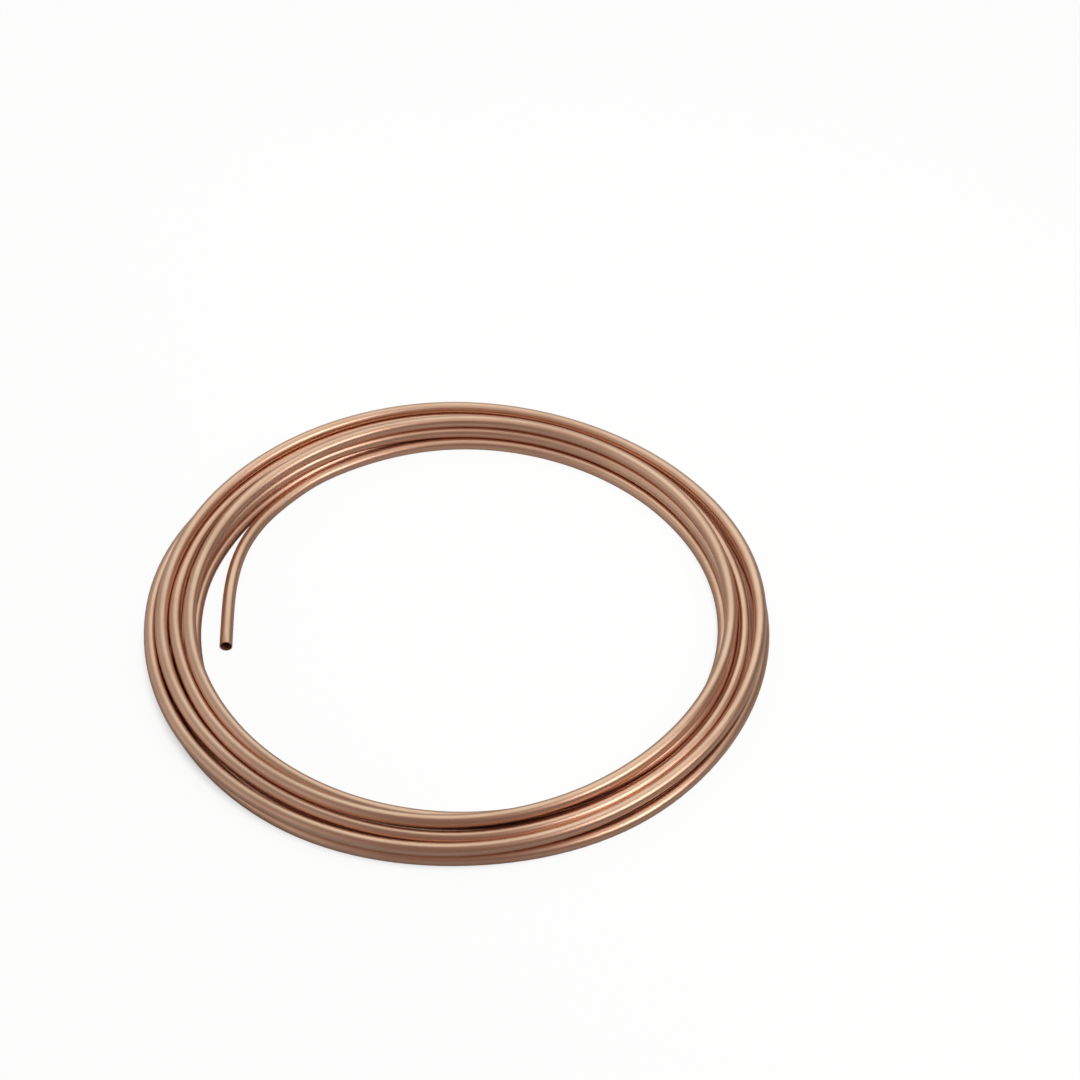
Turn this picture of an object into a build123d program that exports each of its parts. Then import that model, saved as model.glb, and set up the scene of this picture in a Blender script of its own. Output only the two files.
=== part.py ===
"""Coil of soft copper tube, lying flat.

The tube is wound turn on turn into a ring. Four turns lie side by side on the floor, three nest in
the valleys above them, and three more nest on top. The coil is turned in one piece about its own
axis, with a rounded ridge for each turn that shows. The tube's inner end leaves the lowest
innermost turn, bends free of the ring and lies along the floor with its mouth open.

Millimetres. The Z axis is the axis of the coil, and z = 0 is the floor that it lies on.
"""
import os
from math import sqrt

from build123d import *

# The tube
TUBE_OD = 12.0
TUBE_WALL = 1.0
MOUTH_CHAMFER = 0.5

# The coil
COIL_OD = 580.0

# Where the turns of each layer lie, counted inwards from the outermost, in shares of the turn pitch
LAYER_TURN_SHARES = (
    (0, 1, 2, 3),
    (0.5, 1.5, 2.5),
    (1, 2, 3),
)

# Sides of a turn in the ring: with twelve, each turn lies flat against the next and the one above
TURN_SIDES = 12

# The free inner end
TAIL_LEAVE_ANGLE = 113.0
TAIL_END_HEADING = 270.0
TAIL_BEND_RADIUS = 190.0
TAIL_STRAIGHT = 80.0
TAIL_LIFT = 0.3

TUBE_RADIUS = TUBE_OD / 2
BORE_RADIUS = TUBE_RADIUS - TUBE_WALL
TURN_PITCH = TUBE_OD
LAYER_RISE = TURN_PITCH * sqrt(3) / 2
OUTER_TURN_RADIUS = COIL_OD / 2 - TUBE_RADIUS
HALF_SIDE_ANGLE = 180.0 / TURN_SIDES
QUARTER_TURN = 90.0


def turn_centre(layer, turn_share):
    """Centre of one turn in the coil's section: radius from the axis, and height."""
    radius = OUTER_TURN_RADIUS - turn_share * TURN_PITCH
    height = TUBE_RADIUS + layer * LAYER_RISE
    return radius, height


def coil_section():
    """The ring's section: a round for each turn, and the body between their centres."""
    layers = list(enumerate(LAYER_TURN_SHARES))
    inner_side = [turn_centre(layer, shares[-1]) for layer, shares in layers]
    outer_side = [turn_centre(layer, shares[0]) for layer, shares in layers]
    body = make_face(Polyline(*outer_side[::-1], *inner_side, close=True))
    turn = RegularPolygon(TUBE_RADIUS, TURN_SIDES, major_radius=False, rotation=HALF_SIDE_ANGLE)
    turns = [
        Location((*turn_centre(layer, share), 0)) * turn
        for layer, shares in layers
        for share in shares
    ]
    return Sketch() + [body, *turns]


def tail_path():
    """Centre line of the free end: a bend that leaves the lowest inner turn, then a straight run."""
    radius, height = turn_centre(0, LAYER_TURN_SHARES[0][-1])
    leave_heading = TAIL_LEAVE_ANGLE + QUARTER_TURN
    start = Vector(radius, 0, height + TAIL_LIFT).rotate(Axis.Z, TAIL_LEAVE_ANGLE)
    heading = Vector(1, 0, 0).rotate(Axis.Z, leave_heading)
    bend = JernArc(start, heading, TAIL_BEND_RADIUS, TAIL_END_HEADING - leave_heading)
    run = Line(bend @ 1, bend @ 1 + (bend % 1) * TAIL_STRAIGHT)
    return Wire([bend, run])


def tube_along(path, radius):
    """A round bar of the given radius along a path."""
    start = Plane(origin=path @ 0, z_dir=path % 0)
    return sweep(start * Circle(radius), path=path)


def make_coil():
    """The whole piece: the turned ring, its free end, and the bore in that end."""
    ring = revolve(Plane.XZ * coil_section(), Axis.Z)
    path = tail_path()
    tail = tube_along(path, TUBE_RADIUS)
    mouth = tail.faces().sort_by_distance(path @ 1)[0]
    tail = chamfer(mouth.edges(), MOUTH_CHAMFER)
    bore = tube_along(path, BORE_RADIUS)
    return ring + tail - bore


coil = make_coil()
os.makedirs("parts", exist_ok=True)
export_step(coil, "parts/copper_tube_coil.step")

size = coil.bounding_box().size
print(f"coil {size.X:.1f} x {size.Y:.1f} x {size.Z:.1f} mm, volume {coil.volume / 1000:.1f} cm3")
print(f"bend {TAIL_BEND_RADIUS:.0f} mm, free end {tail_path().length:.1f} mm long")
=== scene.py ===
# %% [markdown]
# # A coil of soft copper tube
#
# This lesson dresses one library part in Blender: a length of soft copper tube, wound into a flat ring
# and lying on a white sheet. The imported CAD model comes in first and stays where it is. It gives the size
# and the place of the coil. The script then winds the real tube, turn by turn, in the same frame.

# %% Load the frame
import math

import bmesh
import bpy
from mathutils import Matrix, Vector


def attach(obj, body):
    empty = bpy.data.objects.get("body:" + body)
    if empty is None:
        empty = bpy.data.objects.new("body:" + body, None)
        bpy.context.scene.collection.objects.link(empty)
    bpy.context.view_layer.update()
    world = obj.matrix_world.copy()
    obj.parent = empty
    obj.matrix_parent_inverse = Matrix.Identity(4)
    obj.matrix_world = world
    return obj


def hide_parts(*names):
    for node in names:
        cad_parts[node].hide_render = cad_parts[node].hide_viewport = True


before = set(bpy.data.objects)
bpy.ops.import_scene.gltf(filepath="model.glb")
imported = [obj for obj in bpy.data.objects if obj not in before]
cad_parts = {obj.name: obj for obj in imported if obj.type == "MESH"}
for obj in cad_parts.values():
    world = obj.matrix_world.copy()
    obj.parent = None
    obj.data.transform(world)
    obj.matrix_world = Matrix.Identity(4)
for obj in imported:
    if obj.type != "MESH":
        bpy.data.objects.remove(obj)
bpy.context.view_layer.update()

# %% [markdown]
# ## Units and the tube
#
# Coil makers give tube in millimetres: outside diameter first, then the wall. Blender works in metres here,
# so one small value turns a length in millimetres into a length in the scene.

# %% Tube sizes
MM = 0.001
TUBE_OD = 12.0
TUBE_WALL = 1.0
TUBE_RADIUS = TUBE_OD / 2
print(f"tube {TUBE_OD} mm outside, {TUBE_WALL} mm wall")

# %% [markdown]
# ## How the turns lie
#
# A real coil isn't a stack of neat rings. The tube is one length, so each turn has to climb on to the one
# below it or step inwards somewhere, and turns cross at a shallow angle. A helix from a formula would look
# too tidy, so each turn is written down as a maker would read it off a drawing: its distance from the
# coil's axis and its height, at every twelfth of a turn, from the right-hand side round counter-clockwise.
# The first turn starts late, where the outer end is tucked under, and the last one stops early, where the
# inner end leaves the ring.

# %% The turns, from the tucked outer end to the free inner end
FULL_TURN = 360
STEP_ANGLE = 30
FIRST_STEP = 5
TURN_RADII = (
    (261, 264, 267, 271, 273, 276, 275),
    (273, 269, 268, 268.5, 270, 274, 276, 278.5, 285, 285, 291, 286),
    (284, 283, 283, 283.5, 284, 286, 280.5, 283, 284.5, 284.5, 282, 283.5),
    (283, 278, 275.3, 278.3, 275, 274.5, 271, 269, 268, 273.3, 271, 271.5),
    (268, 266.5, 266.5, 267.5, 269.5, 266.5, 257.5, 255, 259.5, 261.5, 258.5, 257.5),
    (256, 256, 254.8, 253, 249, 246.8, 245, 245.5, 245.5, 250.5, 256, 260.5),
    (256.5, 253.7, 251, 250.7, 249.5, 246.5, 251, 256, 257.5, 259, 261, 262),
    (264, 258.5, 257, 257, 250, 245, 246, 245.5, 244.5, 245, 246, 251),
    (252.5, 246, 244, 244, 238),
)
TURN_HEIGHTS = (
    (6, 6, 6, 6, 6, 6, 6),
    (6, 6, 6, 6, 6, 6, 6, 6, 6, 6, 6, 6),
    (6, 6, 6, 6, 6, 7, 13.8, 16.4, 17.6, 18, 18, 21),
    (26.8, 23.2, 21.5, 24.3, 26, 26, 22.6, 19.8, 17, 16.5, 15.4, 12.7),
    (15.5, 16, 16.4, 16.4, 16.4, 17, 18.7, 21, 24.8, 26.8, 27, 27),
    (26.8, 26.8, 26.8, 26.8, 26.8, 26.8, 26.8, 24.3, 18.2, 16.4, 17, 17.5),
    (15.8, 16.2, 16.2, 16.2, 17.5, 16.2, 12.5, 6.5, 6, 6, 6, 6),
    (6, 6, 6, 6, 6, 6, 6, 6, 6, 6, 6, 6),
    (6, 6, 6, 6, 6),
)
radii = [radius for turn in TURN_RADII for radius in turn]
heights = [height for turn in TURN_HEIGHTS for height in turn]
print(len(radii), "stations,", round(len(radii) * STEP_ANGLE / FULL_TURN, 2), "turns")

# %% [markdown]
# ## Stations closer together
#
# A smooth curve round a circle needs at least a dozen points a turn, and more where turns cross. The script
# puts a new station between every two. Its value is nine parts of each near neighbour, less one part of
# each far one, out of sixteen, so it bends with the curve on both sides. The written values stay as they
# are. Plain averages would be simpler, but the tube would change its course with a kink at each station.

# %% Halve the steps
NEAR_PARTS = 9
ALL_PARTS = 16


def halve(values):
    """Put a smooth value between every two neighbours."""
    finer = []
    last = len(values) - 1
    for index in range(last):
        before = values[max(index - 1, 0)]
        after = values[min(index + 2, last)]
        near = values[index] + values[index + 1]
        finer += [values[index], (NEAR_PARTS * near - before - after) / ALL_PARTS]
    return finer + [values[last]]


radii = halve(radii)
heights = halve(heights)
fine_step = STEP_ANGLE / 2
steps_per_turn = round(FULL_TURN / fine_step)
print(len(radii), "stations,", steps_per_turn, "a turn")

# %% [markdown]
# ## Settling the turns
#
# Two turns can touch but not share space. At each angle the script looks at the coil's cross-section, finds
# the turns that are closer than one diameter and moves each pair apart, half each, with the floor below
# them. A few dozen rounds are enough, as when a bundle is shaken down. A physics simulation could do it too,
# but this is quicker and gives the same result on every run.

# %% Push overlapping turns apart
SETTLE_ROUNDS = 60


def settle(radii, heights):
    """One round: move every two turns that overlap at the same angle apart."""
    worst = 0.0
    for first in range(len(radii)):
        for second in range(first + steps_per_turn, len(radii), steps_per_turn):
            across = radii[second] - radii[first]
            up = heights[second] - heights[first]
            distance = math.hypot(across, up)
            overlap = TUBE_OD - distance
            if overlap <= 0:
                continue
            worst = max(worst, overlap)
            share = overlap / distance / 2
            radii[first] -= across * share
            radii[second] += across * share
            heights[first] = max(TUBE_RADIUS, heights[first] - up * share)
            heights[second] = max(TUBE_RADIUS, heights[second] + up * share)
    return worst


for _ in range(SETTLE_ROUNDS):
    overlap_left = settle(radii, heights)
print(f"overlap left after settling: {overlap_left:.3f} mm")

# %% [markdown]
# ## One path for the whole tube
#
# The tube is one length, so its centre line is one path through the stations, and then through the points
# of the free end, which leaves the ring in a wide bend and runs straight to its mouth. The curve that
# follows is a cubic NURBS, which cuts corners: on a circle it runs inside its points by a known share.
# Dividing the radius by that share puts it back on the circle.

# %% Points of the path
TAIL_POINTS = (
    (-148.0, 185.5),
    (-174.5, 156.0),
    (-189.5, 134.0),
    (-203.5, 103.0),
    (-211.0, 65.0),
    (-213.0, 27.0),
    (-212.8, 0.0),
    (-212.7, -26.8),
)
corner_share = (2 + math.cos(math.radians(fine_step))) / 3
path_points = []
for index, (radius, height) in enumerate(zip(radii, heights)):
    angle = math.radians(FIRST_STEP * STEP_ANGLE + index * fine_step)
    reach = radius / corner_share
    path_points.append(Vector((reach * math.cos(angle), reach * math.sin(angle), height)) * MM)
for to_the_right, to_the_back in TAIL_POINTS:
    path_points.append(Vector((to_the_right, to_the_back, TUBE_RADIUS)) * MM)
print(len(path_points), "points on the path")

# %% [markdown]
# ## The curve
#
# A round bar along a path could be made by pushing a circle from point to point, but a curve object does
# that by itself: its bevel is the round profile. It also leaves a UV map that follows the tube, which the
# copper needs later. The ends stay open, because the tube is open.

# %% Wind the tube
ROUND_STEPS = 10
PATH_STEPS = 6
CUBIC_ORDER = 4
path = bpy.data.curves.new("tube_path", "CURVE")
path.dimensions = "3D"
path.twist_mode = "Z_UP"
path.bevel_depth = TUBE_RADIUS * MM
path.bevel_resolution = ROUND_STEPS
path.use_fill_caps = False
spline = path.splines.new("NURBS")
spline.points.add(len(path_points) - 1)
for point, place in zip(spline.points, path_points):
    point.co = (*place, 1.0)
spline.order_u = CUBIC_ORDER
spline.use_endpoint_u = True
spline.resolution_u = PATH_STEPS
tube_length = spline.calc_length()
print(f"{tube_length:.2f} m of tube")

# %% [markdown]
# ## From the curve to a tube with a wall
#
# The curve becomes a mesh, open at both ends. Solidify then gives the wall its thickness inwards, so the
# tube is hollow from end to end as the real one is, and a small bevel rounds the cut lips. A second, thinner
# tube could be cut out of a solid bar, but Solidify needs no cut and keeps the faces even. It also gives
# the inner faces the next material of the mesh, so that the bore can have a finish of its own.

# %% Make the mesh
path_object = bpy.data.objects.new("tube_path", path)
bpy.context.scene.collection.objects.link(path_object)
bpy.context.view_layer.update()
graph = bpy.context.evaluated_depsgraph_get()
tube_mesh = bpy.data.meshes.new_from_object(path_object.evaluated_get(graph))
tube_mesh.name = "copper_tube"
bpy.data.objects.remove(path_object)

tube = bpy.data.objects.new("copper_tube", tube_mesh)
bpy.context.scene.collection.objects.link(tube)
for polygon in tube_mesh.polygons:
    polygon.use_smooth = True
print(len(tube_mesh.polygons), "faces before the wall; UV maps:", [m.name for m in tube_mesh.uv_layers])

# %% Give it its wall and its lips
INWARDS = -1
LIP_ROUND = 0.2
LIP_SEGMENTS = 2
LIP_ANGLE = 50
wall = tube.modifiers.new("wall", "SOLIDIFY")
wall.thickness = TUBE_WALL * MM
wall.offset = INWARDS
wall.use_even_offset = True
wall.material_offset = 1
wall.material_offset_rim = 0

lip = tube.modifiers.new("lip", "BEVEL")
lip.width = LIP_ROUND * MM
lip.segments = LIP_SEGMENTS
lip.limit_method = "ANGLE"
lip.angle_limit = math.radians(LIP_ANGLE)
print("modifiers:", [modifier.name for modifier in tube.modifiers])

# %% [markdown]
# ## A helper for shader maths
#
# A node tree is easier to read as a formula. This small class wraps one output of a node, so that plus,
# minus and times add Math nodes. Every other node comes from one method, which sets the node's settings
# first and its sockets after that.

# %% The helper
class Socket:
    """One output of a shader node; Python's operators on it add Math nodes."""

    def __init__(self, tree, output):
        self.tree = tree
        self.output = output

    @staticmethod
    def node(tree, kind, settings=None, inputs=None, output=0):
        """Add a node: its settings, then the values or links of its sockets."""
        made = tree.nodes.new(kind)
        for name, value in (settings or {}).items():
            setattr(made, name, value)
        for name, value in (inputs or {}).items():
            if isinstance(value, Socket):
                tree.links.new(value.output, made.inputs[name])
            else:
                made.inputs[name].default_value = value
        return Socket(tree, made.outputs[output])

    def math(self, operation, first, second):
        return self.node(self.tree, "ShaderNodeMath", {"operation": operation}, {0: first, 1: second})

    def __add__(self, other):
        return self.math("ADD", self, other)

    def __radd__(self, other):
        return self.math("ADD", other, self)

    def __sub__(self, other):
        return self.math("SUBTRACT", self, other)

    def __mul__(self, other):
        return self.math("MULTIPLY", self, other)

    def smooth(self, low, high, start=0.0, stop=1.0):
        """A soft step: start below low, stop above high."""
        ends = {"From Min": low, "From Max": high, "To Min": start, "To Max": stop}
        return self.node(self.tree, "ShaderNodeMapRange", {"interpolation_type": "SMOOTHSTEP"},
                         {"Value": self, **ends})

    def mix(self, first, second):
        """A colour between two colours, with this value as the share of the second."""
        return self.node(self.tree, "ShaderNodeMix", {"data_type": "RGBA"}, {0: self, 6: first, 7: second}, 2)

    def axis(self, name):
        """One axis of a place or a direction: X, Y or Z."""
        return self.node(self.tree, "ShaderNodeSeparateXYZ", None, {0: self}, name)

    def noise(self, scale, detail):
        """A cloudy pattern at this place; the scale is in patches to the unit."""
        return self.node(self.tree, "ShaderNodeTexNoise", None,
                         {"Vector": self, "Scale": scale, "Detail": detail})

    def into(self, node, name):
        """Link this value into a socket of a node that is already there."""
        self.tree.links.new(self.output, node.inputs[name])


print("helper ready")

# %% [markdown]
# ## Copper: coordinates that follow the tube
#
# Soft copper is drawn through a die and then annealed. It comes out as a satin metal, a warm pink brown,
# with hair-fine lines along the tube from the die and faint cloudy patches where it has begun to tarnish.
# The lines need coordinates that follow the tube. The curve left a UV map: one axis runs along the tube and
# the other goes round it. The round one is turned into a sine and a cosine, so the pattern closes without
# a seam.

# %% Along and round the tube
copper = bpy.data.materials.new("copper")
copper.use_nodes = True
copper_tree = copper.node_tree
copper_shader = copper_tree.nodes["Principled BSDF"]
copper_shader.inputs["Metallic"].default_value = 1.0

tube_uv = Socket.node(copper_tree, "ShaderNodeUVMap", {"uv_map": tube_mesh.uv_layers[0].name})
along = tube_uv.axis("X")
around = tube_uv.axis("Y") * (2 * math.pi)
round_x = Socket.node(copper_tree, "ShaderNodeMath", {"operation": "COSINE"}, {0: around})
round_y = Socket.node(copper_tree, "ShaderNodeMath", {"operation": "SINE"}, {0: around})
print(len(copper_tree.nodes), "nodes for the coordinates")

# %% [markdown]
# ## Copper: lines, clouds and specks
#
# Noise that changes slowly along the tube and quickly round it turns into lines. Two sets of them stand for
# the marks of the die and for finer hairs. The tarnish isn't tied to the drawing, so its clouds and specks
# lie on plain Object coordinates. A painted picture could carry all this, but noise stays sharp on 13 m of
# tube.

# %% The patterns
def drawn_lines(changes_along, changes_round, detail):
    """Noise drawn out along the tube: few changes along it, many round it."""
    run = along * (tube_length * changes_along)
    place = Socket.node(copper_tree, "ShaderNodeCombineXYZ", None,
                        {0: run, 1: round_x * changes_round, 2: round_y * changes_round})
    return place.noise(1.0, detail)


die_lines = drawn_lines(changes_along=6, changes_round=9, detail=3)
hair_lines = drawn_lines(changes_along=20, changes_round=26, detail=2)
object_place = Socket.node(copper_tree, "ShaderNodeTexCoord", None, None, "Object")
clouds = object_place.noise(scale=14.0, detail=4.0)
specks = object_place.noise(scale=90.0, detail=3.0)
print(len(copper_tree.nodes), "nodes with the patterns")

# %% [markdown]
# ## Copper: colour and sheen
#
# Tarnish takes the colour from fresh pink towards brown, most in the clouds, less along the lines and in
# the specks. The lines mostly change the roughness and only stand up as a very shallow bump, because drawn
# tube feels smooth to the hand. Deeper bumps would break the long bands of light that make it look like
# metal.

# %% Colour
FRESH = (0.80, 0.50, 0.37, 1)
TARNISHED = (0.66, 0.385, 0.275, 1)
CLOUD_TARNISH = 0.55
LINE_TARNISH = 0.3
SPECK_TARNISH = 0.25
tarnish_in_clouds = clouds.smooth(0.38, 0.72) * CLOUD_TARNISH
tarnish_in_lines = die_lines.smooth(0.45, 0.75) * LINE_TARNISH
tarnish_in_specks = specks.smooth(0.62, 0.75) * SPECK_TARNISH
tarnish = tarnish_in_clouds + tarnish_in_lines + tarnish_in_specks
tarnish.mix(FRESH, TARNISHED).into(copper_shader, "Base Color")
print("copper from", FRESH[:3], "to", TARNISHED[:3])

# %% Sheen
SATIN_ROUGHNESS = 0.325
DIE_ROUGHNESS = 0.14
HAIR_ROUGHNESS = 0.06
CLOUD_ROUGHNESS = 0.05
MIDDLE_OF_NOISE = 0.5
rough_lines = (die_lines - MIDDLE_OF_NOISE) * DIE_ROUGHNESS
rough_hairs = (hair_lines - MIDDLE_OF_NOISE) * HAIR_ROUGHNESS
rough_clouds = clouds.smooth(0.4, 0.7) * CLOUD_ROUGHNESS
roughness = SATIN_ROUGHNESS + rough_lines + rough_hairs + rough_clouds
roughness.into(copper_shader, "Roughness")

HAIR_HEIGHT = 0.6
DIE_HEIGHT = 0.4
BUMP_STRENGTH = 0.06
BUMP_DISTANCE = 0.0001
bump_height = hair_lines * HAIR_HEIGHT + die_lines * DIE_HEIGHT
bump = Socket.node(copper_tree, "ShaderNodeBump", None,
                   {"Strength": BUMP_STRENGTH, "Distance": BUMP_DISTANCE, "Height": bump_height})
bump.into(copper_shader, "Normal")

tube_mesh.materials.clear()
tube_mesh.materials.append(copper)
print(len(copper_tree.nodes), "nodes in the copper finish")

# %% [markdown]
# ## The dull bore
#
# Inside, nothing wipes the tube after it is annealed, so the bore keeps a thin dull oxide: a dark red brown
# that scatters light instead of mirroring it. It could be painted on the copper by a mask, but a second
# material is plainer: it is the next one of the mesh, which Solidify gives to the wall's inner faces.

# %% The bore's finish
OXIDE = (0.34, 0.13, 0.105, 1)
DARK_OXIDE = (0.22, 0.085, 0.075, 1)
BORE_METALLIC = 0.3
BORE_ROUGHNESS = 0.52
BLOTCH_ROUGHNESS = 0.2
bore = bpy.data.materials.new("bore")
bore.use_nodes = True
bore_tree = bore.node_tree
bore_shader = bore_tree.nodes["Principled BSDF"]
bore_shader.inputs["Metallic"].default_value = BORE_METALLIC
bore_place = Socket.node(bore_tree, "ShaderNodeTexCoord", None, None, "Object")
blotches = bore_place.noise(scale=260.0, detail=3.0)
blotches.smooth(0.35, 0.7).mix(OXIDE, DARK_OXIDE).into(bore_shader, "Base Color")
(BORE_ROUGHNESS + blotches * BLOTCH_ROUGHNESS).into(bore_shader, "Roughness")
tube_mesh.materials.append(bore)
print(len(tube_mesh.materials), "materials on the tube")

# %% [markdown]
# ## The sheet
#
# The coil lies on a sheet that runs out of sight. A wide disc is enough: from low down its edge would show
# as a strip, so it reaches far past anything that a camera sees.

# %% Floor
FLOOR_RADIUS = 40.0
FLOOR_SEGMENTS = 96
floor_shape = bmesh.new()
bmesh.ops.create_circle(floor_shape, cap_ends=True, segments=FLOOR_SEGMENTS, radius=FLOOR_RADIUS)
floor_mesh = bpy.data.meshes.new("floor")
floor_shape.to_mesh(floor_mesh)
floor_shape.free()
floor = bpy.data.objects.new("floor", floor_mesh)
bpy.context.scene.collection.objects.link(floor)
print("floor", FLOOR_RADIUS, "m in radius")

# %% [markdown]
# ## The sheet's paper
#
# The paper itself is a plain grey that takes the lamps' light and the coil's shadow. To the camera it also
# glows, so that it comes out white without more light on the metal. Metal that mirrors the sheet sees part of
# that glow, as a painted reflection of lit paper: much of it behind the coil, hardly any in front, where the
# real sheet lies in the dark of the room. Under the ring, and close round it, the glow fades out, so that no
# light leaks out between the turns. There the plain grey paper and the coil's real shadow show through, which
# paints shade round the coil's foot. More light on a white sheet would be simpler, but it would bleach the
# copper.

# %% Where the sheet glows
FLOOR_GLOW = 0.83
NEAR_GLOW_IN_METAL = 0.05
FAR_GLOW_IN_METAL = 0.5
# Across these radii the glow fades out: under the ring and close round it the sheet shows painted shade.
UNDER_INNER_TURNS = (0.24, 0.258)
UNDER_OUTER_TURNS = (0.272, 0.295)
FAR_SIDE = (0.1, 0.6)
paper = bpy.data.materials.new("paper")
paper.use_nodes = True
paper_tree = paper.node_tree
seen = Socket.node(paper_tree, "ShaderNodeLightPath", None, None, "Is Camera Ray")
mirrored = Socket.node(paper_tree, "ShaderNodeLightPath", None, None, "Is Glossy Ray")
through = Socket.node(paper_tree, "ShaderNodeLightPath", None, None, "Is Transmission Ray")
floor_place = Socket.node(paper_tree, "ShaderNodeTexCoord", None, None, "Object")
from_axis = Socket.node(paper_tree, "ShaderNodeVectorMath", {"operation": "LENGTH"},
                        {0: floor_place}, "Value")
# No glow under the ring and close round it: painted shade round the coil's foot, on top of the coil's real
# shadow.
outside_painted_ring_shade = from_axis.smooth(*UNDER_INNER_TURNS, 1.0, 0.0) + from_axis.smooth(*UNDER_OUTER_TURNS)
# The glow that metal sees, strong behind the coil and weak in front: a painted reflection of lit paper.
painted_glow_in_metal = floor_place.axis("Y").smooth(*FAR_SIDE, NEAR_GLOW_IN_METAL, FAR_GLOW_IN_METAL)
glow_share = (seen * FLOOR_GLOW + (mirrored + through) * painted_glow_in_metal) * outside_painted_ring_shade
print(len(paper_tree.nodes), "nodes say where the sheet glows")

# %% The paper
PAPER_GREY = (0.46, 0.46, 0.46, 1)
PAPER_ROUGHNESS = 0.9
GLOW_WHITE = (1, 1, 1, 1)
GLOW_STRENGTH = 1.13
paper_shader = paper_tree.nodes["Principled BSDF"]
paper_shader.inputs["Base Color"].default_value = PAPER_GREY
paper_shader.inputs["Roughness"].default_value = PAPER_ROUGHNESS
paper_shader.inputs["Specular IOR Level"].default_value = 0.0
sheet = Socket(paper_tree, paper_shader.outputs["BSDF"])
glow = Socket.node(paper_tree, "ShaderNodeEmission", None, {"Color": GLOW_WHITE, "Strength": GLOW_STRENGTH})
surface = Socket.node(paper_tree, "ShaderNodeMixShader", None, {0: glow_share, 1: sheet, 2: glow})
surface.into(paper_tree.nodes["Material Output"], "Surface")
floor_mesh.materials.append(paper)
print("paper", PAPER_GREY[0], "grey, glowing", FLOOR_GLOW, "to the camera")

# %% [markdown]
# ## The room
#
# Smooth metal is mostly a picture of the room, so the room is what gives the tube its bands. A photographed
# room would do as the world, but a round bar blurs it to a few bright and dim zones, so soft steps on the
# direction of a ray are enough and stay easy to change. High up behind the coil is a pale window. The wall
# below it is dull, the left wall is lighter, and the right one and the camera's side are dim and brown.

# %% World
WINDOW = (0.62, 0.72, 0.69, 1)
BACK_WALL = (0.36, 0.315, 0.285, 1)
LEFT_WALL = (0.59, 0.58, 0.545, 1)
RIGHT_WALL = (0.185, 0.135, 0.115, 1)
DIM_ROOM = (0.25, 0.185, 0.16, 1)
WINDOW_RIGHT, WINDOW_BACK, WINDOW_UP = 0.05, 0.69, 0.72
world = bpy.data.worlds.new("studio")
bpy.context.scene.world = world
world.use_nodes = True
world_tree = world.node_tree
background = world_tree.nodes["Background"]
direction = Socket.node(world_tree, "ShaderNodeTexCoord", None, None, "Generated")
to_right = direction.axis("X")
to_back = direction.axis("Y")
to_top = direction.axis("Z")
towards_window = to_right * WINDOW_RIGHT + to_back * WINDOW_BACK + to_top * WINDOW_UP
walls = to_back.smooth(-0.3, 0.7).mix(DIM_ROOM, BACK_WALL)
walls = to_right.smooth(0.35, 0.85).mix(walls, RIGHT_WALL)
walls = to_right.smooth(-0.9, -0.35, 1.0, 0.0).mix(walls, LEFT_WALL)
towards_window.smooth(0.68, 0.99).mix(walls, WINDOW).into(background, "Color")
background.inputs["Strength"].default_value = 1.0
print(len(world_tree.nodes), "nodes in the world")

# %% [markdown]
# ## The lamps
#
# Metal mirrors the shape of a lamp, so soft rectangles are used, as in a studio. Two panels hang over the
# far side of the coil, just above what the camera sees, and make the pale band on top of every turn. At the
# right, towards the camera, a small bright lamp makes the glints and a wide, weaker one fills the shadows.
# Point lamps would be simpler, but they would leave hard sparks on every turn.

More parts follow.
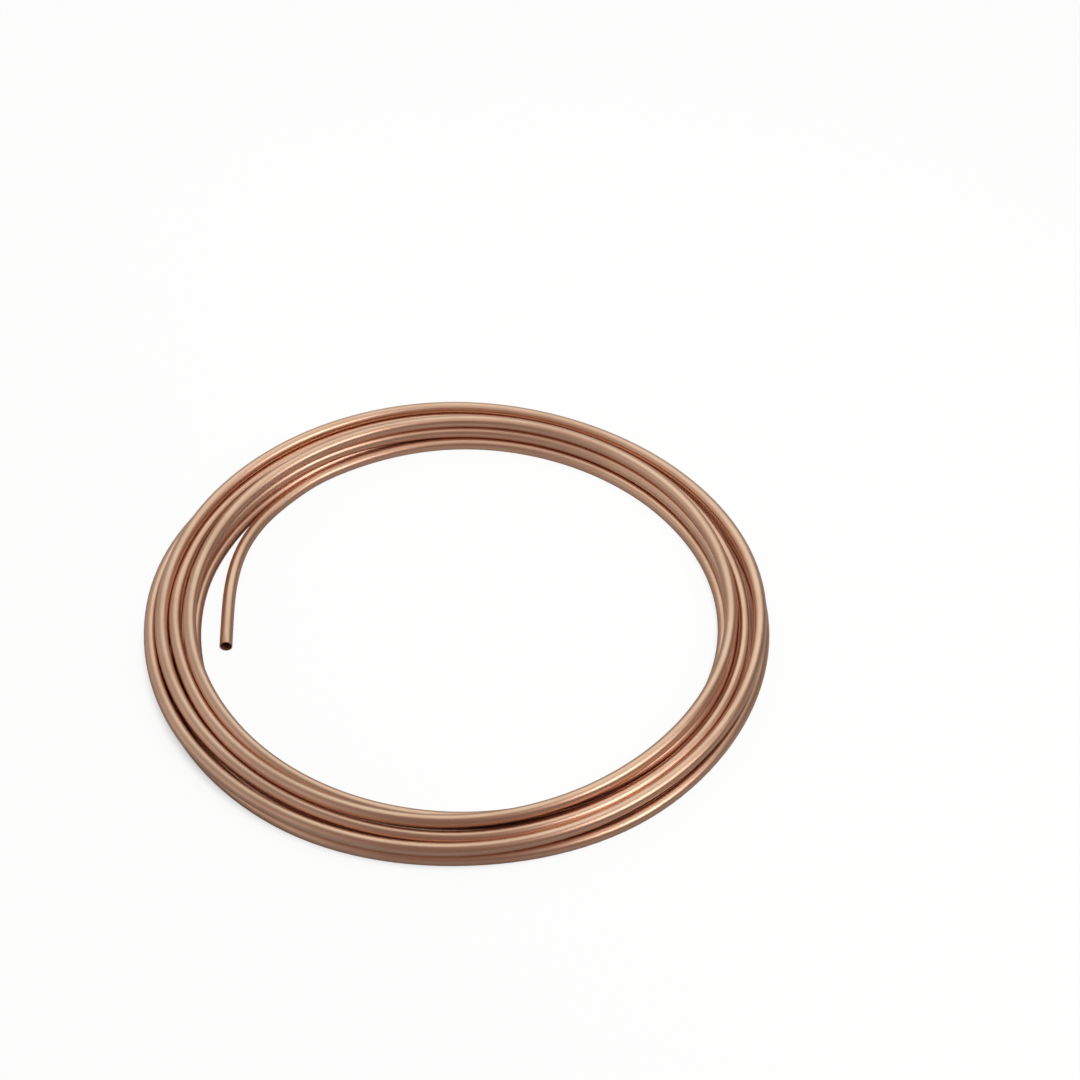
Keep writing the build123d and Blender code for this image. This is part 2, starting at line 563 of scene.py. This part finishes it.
# %% Lamps
def soft_lamp(name, place, target, size, level, colour):
    """A rectangular lamp; its level is the brightness that a mirror would show."""
    width, depth = size
    data = bpy.data.lights.new(name, "AREA")
    data.shape = "RECTANGLE"
    data.size = width
    data.size_y = depth
    data.energy = level * math.pi * width * depth
    data.color = colour
    lamp = bpy.data.objects.new(name, data)
    bpy.context.scene.collection.objects.link(lamp)
    lamp.location = place
    lamp.rotation_euler = (Vector(target) - Vector(place)).to_track_quat("-Z", "Y").to_euler()
    return lamp


panel = soft_lamp("panel", place=(0.20, 0.34, 0.56), target=(0.20, 0.34, 0), size=(0.76, 1.1),
                  level=0.52, colour=(0.83, 0.92, 0.87))
corner = soft_lamp("corner", place=(-0.33, 0.76, 0.56), target=(-0.33, 0.76, 0), size=(0.30, 0.52),
                   level=0.70, colour=(0.86, 0.92, 0.87))
spot = soft_lamp("spot", place=(1.59, -0.98, 1.80), target=(0, 0, 0), size=(0.6, 0.6),
                 level=4.2, colour=(0.97, 0.95, 0.90))
side = soft_lamp("side", place=(1.30, -0.62, 1.30), target=(0, 0, 0), size=(1.1, 1.1),
                 level=1.8, colour=(0.93, 0.97, 0.93))
print("lamps:", panel.name, corner.name, spot.name, side.name)

# %% [markdown]
# ## The camera
#
# The photograph looks down on the coil at about 46 degrees, from far enough away that its near and far
# sides look almost equally wide. So the lens is a long one. The coil lies left of the picture's middle and
# below it, which comes from aiming past its axis, to the right and to the back.

# %% Camera
SENSOR_WIDTH = 36
LENS = 78.4
CAMERA_PLACE = (0, -1.5320, 1.5865)
CAMERA_AIM = (0.0845, 0.1056, 0)
camera_data = bpy.data.cameras.new("camera")
camera_data.sensor_width = SENSOR_WIDTH
camera_data.lens = LENS
camera = bpy.data.objects.new("camera", camera_data)
bpy.context.scene.collection.objects.link(camera)
camera.location = CAMERA_PLACE
line_of_sight = Vector(CAMERA_AIM) - camera.location
camera.rotation_euler = line_of_sight.to_track_quat("-Z", "Y").to_euler()
bpy.context.scene.camera = camera
bpy.context.scene.view_settings.view_transform = "Standard"
print(f"camera {line_of_sight.length:.2f} m from its aim, {LENS} mm lens")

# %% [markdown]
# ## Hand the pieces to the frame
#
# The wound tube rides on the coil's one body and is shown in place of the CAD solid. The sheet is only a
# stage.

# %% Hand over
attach(tube, "root")
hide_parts("copper_tube_coil")
print("handed over:", tube.name, "on the stage", floor.name)
